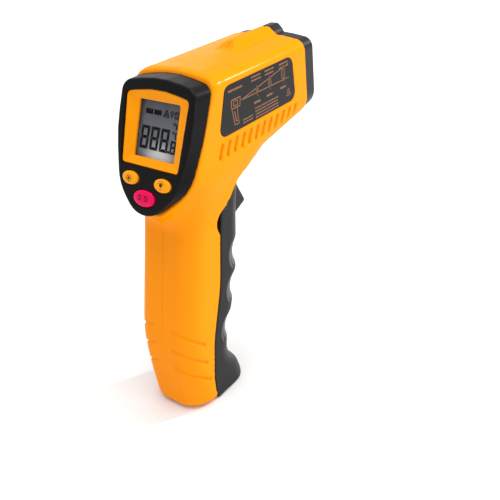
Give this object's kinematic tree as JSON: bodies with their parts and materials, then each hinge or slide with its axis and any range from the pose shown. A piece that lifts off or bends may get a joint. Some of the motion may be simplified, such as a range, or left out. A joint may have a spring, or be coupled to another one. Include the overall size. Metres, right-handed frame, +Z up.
{
  "type": "infrared thermometer",
  "caption": "Pistol-shaped infrared thermometer with a tilted display and keys, sprung trigger, and a hinged battery cover that forms the front of the grip.",
  "frame": {"origin": "centre of the flat end of the grip, on which the object stands", "axes": "+X to the user's right, +Y along the barrel towards the nose, +Z up the grip"},
  "size_m": [0.043, 0.1015, 0.153],
  "materials": {
    "yellow_shell": "moulded ABS, satin to glossy",
    "black_bezel": "moulded ABS, fine satin grain",
    "grip_cover": "moulded ABS, fine satin grain",
    "trigger_black": "moulded ABS, satin",
    "inner_black": "moulded plastic",
    "key_orange": "moulded key cap, glossy",
    "key_crimson": "moulded key cap, glossy",
    "lens_dark": "infrared lens, dark and glossy",
    "laser_glass": "clear",
    "window_clear": "clear window, glossy",
    "lcd_grey": "liquid crystal panel",
    "light_guide": "light guide",
    "contact_rubber": "striped conductive rubber",
    "circuit_board": "solder mask",
    "steel": "plated steel",
    "sensor_metal": "turned aluminium",
    "brass": "turned brass",
    "plunger_red": "moulded plastic",
    "cell_jacket": "metal can in a printed sleeve without lettering",
    "label_plate": "printed film",
    "lead_sleeve": "insulated wire"
  },
  "bodies": {
    "body": {"left_shell": "yellow_shell", "right_shell": "yellow_shell", "display_bezel": "black_bezel", "nose_ring": "black_bezel", "lens_hood": "black_bezel", "lens_ring": "brass", "ir_lens": "lens_dark", "sensor_tube": "inner_black", "thermopile": "sensor_metal", "sensor_board": "circuit_board", "optics_bracket": "inner_black", "laser_module": "sensor_metal", "laser_lens": "laser_glass", "lcd_frame": "yellow_shell", "lcd_window": "window_clear", "lcd_panel": "lcd_grey", "backlight": "light_guide", "contact_strip": "contact_rubber", "main_board": "circuit_board", "board_parts": "inner_black", "board_screws": "steel", "button_switches": "inner_black", "buzzer": "inner_black", "trigger_pin": "steel", "trigger_spring": "steel", "trigger_switch": "inner_black", "switch_board": "circuit_board", "battery_tray": "inner_black", "battery_left": "cell_jacket", "battery_right": "cell_jacket", "battery_springs": "steel", "battery_contacts": "steel", "cover_pin": "steel", "shell_screws": "steel", "left_label": "label_plate", "right_label": "label_plate", "sensor_leads": "lead_sleeve", "battery_leads": "lead_sleeve", "laser_leads": "lead_sleeve"},
    "laser_key": {"laser_button": "key_orange", "laser_key_plunger": "inner_black"},
    "backlight_key": {"backlight_button": "key_orange", "backlight_key_plunger": "inner_black"},
    "unit_key": {"unit_button": "key_crimson", "unit_key_plunger": "inner_black"},
    "trigger_lever": {"trigger": "trigger_black"},
    "switch_pin": {"switch_plunger": "plunger_red"},
    "cover": {"battery_cover": "grip_cover"}
  },
  "joints": [
    {"name": "trigger_pull", "type": "hinge", "parent": "body", "child": "trigger_lever", "pos_m": [0, 0.02, 0.106], "axis": [-1, 0, 0], "range_deg": [0, 7], "stiffness_Nm_per_rad": 0.25, "springref_deg": -5.73, "deforming": ["trigger_spring"]},
    {"name": "switch_press", "type": "slide", "parent": "body", "child": "switch_pin", "axis": [0, -1, 0], "range_m": [0, 0.0012]},
    {"name": "cover_swing", "type": "hinge", "parent": "body", "child": "cover", "pos_m": [0, 0.0118, 0.005], "axis": [-1, 0, 0], "range_deg": [0, 65]},
    {"name": "laser_press", "type": "slide", "parent": "body", "child": "laser_key", "axis": [0, 0.9252, -0.3795], "range_m": [0, 0.0008], "stiffness_N_per_m": 800, "springref_m": -0.0004},
    {"name": "backlight_press", "type": "slide", "parent": "body", "child": "backlight_key", "axis": [0, 0.9252, -0.3795], "range_m": [0, 0.0008], "stiffness_N_per_m": 800, "springref_m": -0.0004},
    {"name": "unit_press", "type": "slide", "parent": "body", "child": "unit_key", "axis": [0, 0.9252, -0.3795], "range_m": [0, 0.0008], "stiffness_N_per_m": 800, "springref_m": -0.0004}
  ],
  "couplings": [
    {"joint": "switch_press", "follows": "trigger_pull", "m_per_rad": 0.0095}
  ]
}
